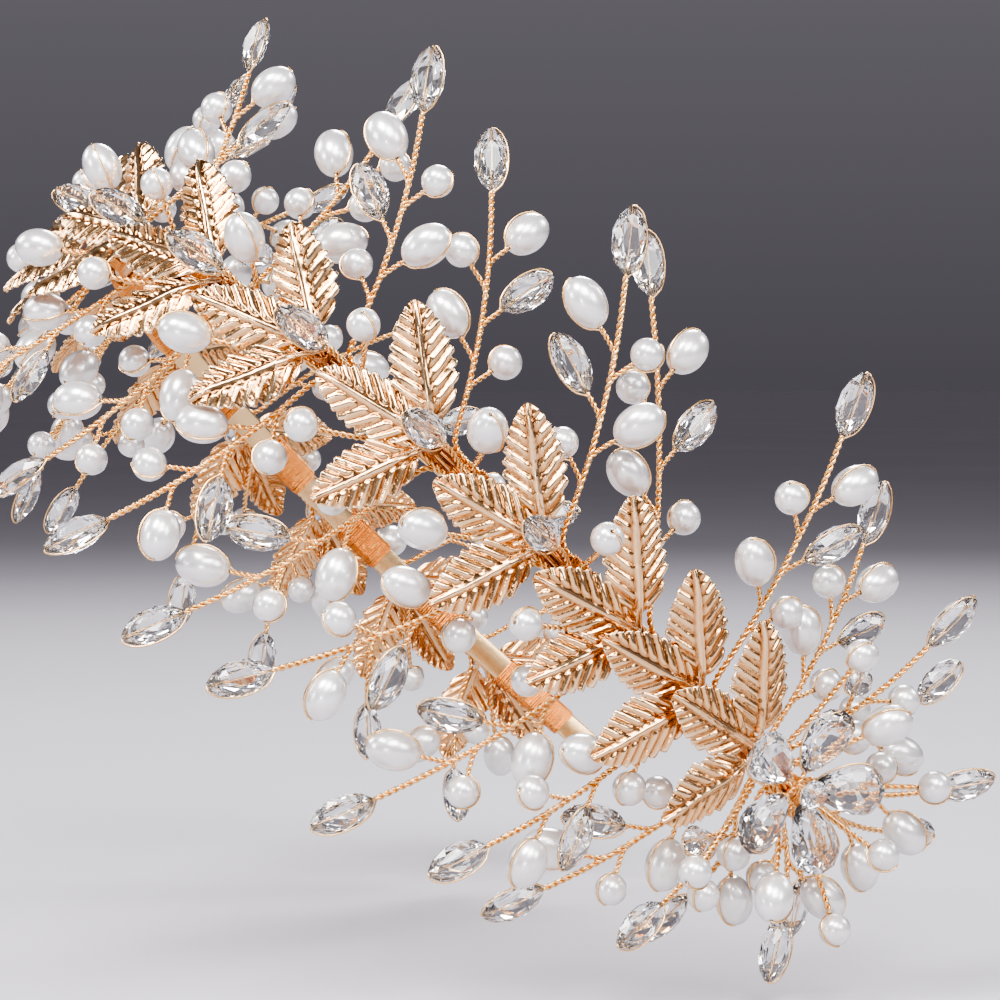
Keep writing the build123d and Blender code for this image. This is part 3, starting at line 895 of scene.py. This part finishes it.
world = bpy.data.worlds.new("studio")
bpy.context.scene.world = world
world.use_nodes = True
surround = world.node_tree
background = surround.nodes["Background"]
direction = surround.nodes.new("ShaderNodeTexCoord")
split = surround.nodes.new("ShaderNodeSeparateXYZ")
shade = surround.nodes.new("ShaderNodeValToRGB")
surround.links.new(direction.outputs["Generated"], split.inputs["Vector"])
height = surround.nodes.new("ShaderNodeMapRange")
height.inputs["From Min"].default_value = -1.0
height.inputs["From Max"].default_value = 1.0
surround.links.new(split.outputs["Z"], height.inputs["Value"])
surround.links.new(height.outputs["Result"], shade.inputs["Fac"])
set_stops(shade, ((0.0, (0.10, 0.095, 0.105)), (0.50, (0.096, 0.090, 0.104)), (0.66, (0.22, 0.21, 0.23)),
                  (1.0, (0.12, 0.115, 0.125))))
surround.links.new(shade.outputs["Color"], background.inputs["Color"])
background.inputs["Strength"].default_value = 1.0


def soft_light(name, azimuth, elevation, distance, size, power):
    """A square soft box that faces the origin from the side that a view at this azimuth looks from."""
    lamp = bpy.data.lights.new(name, "AREA")
    lamp.shape, lamp.size, lamp.energy = "SQUARE", size, power
    made = bpy.data.objects.new(name, lamp)
    a, e = radians(azimuth), radians(elevation)
    made.location = Vector((sin(a) * cos(e), -cos(a) * cos(e), sin(e))) * distance
    made.rotation_euler = made.location.to_track_quat("Z", "Y").to_euler()
    made.visible_camera = False
    bpy.context.scene.collection.objects.link(made)


soft_light("key", 40, 50, 0.9, 0.30, 6.0)
soft_light("front_top", 84, 40, 0.95, 0.45, 6.0)
soft_light("fill", 118, 24, 1.0, 0.35, 2.6)
soft_light("low_front", 60, 0, 0.9, 0.12, 0.6)
soft_light("side", 10, 12, 1.1, 0.30, 2.4)
soft_light("left_back", 330, 30, 1.0, 0.35, 3.2)
soft_light("rim", 245, 42, 1.0, 0.35, 4.5)
soft_light("right_back", 180, 35, 1.0, 0.30, 2.6)

view_azimuth, view_elevation, view_distance = 74, 2, 0.5
shift_right, shift_up = -3.5 * MM, 4.8 * MM
aim = Vector((65, 0, 0)) * MM
a, e = radians(view_azimuth), radians(view_elevation)
looking = Vector((-sin(a) * cos(e), cos(a) * cos(e), -sin(e)))
rightward = Vector((cos(a), sin(a), 0))
upward = rightward.cross(looking)
aim += rightward * shift_right + upward * shift_up
lens = bpy.data.cameras.new("camera")
lens.lens, lens.sensor_width = 122, 36
camera = bpy.data.objects.new("camera", lens)
camera.location = aim - looking * view_distance
camera.rotation_euler = looking.to_track_quat("-Z", "Y").to_euler()
bpy.context.scene.collection.objects.link(camera)
bpy.context.scene.camera = camera

bpy.context.scene.view_settings.look = "AgX - High Contrast"
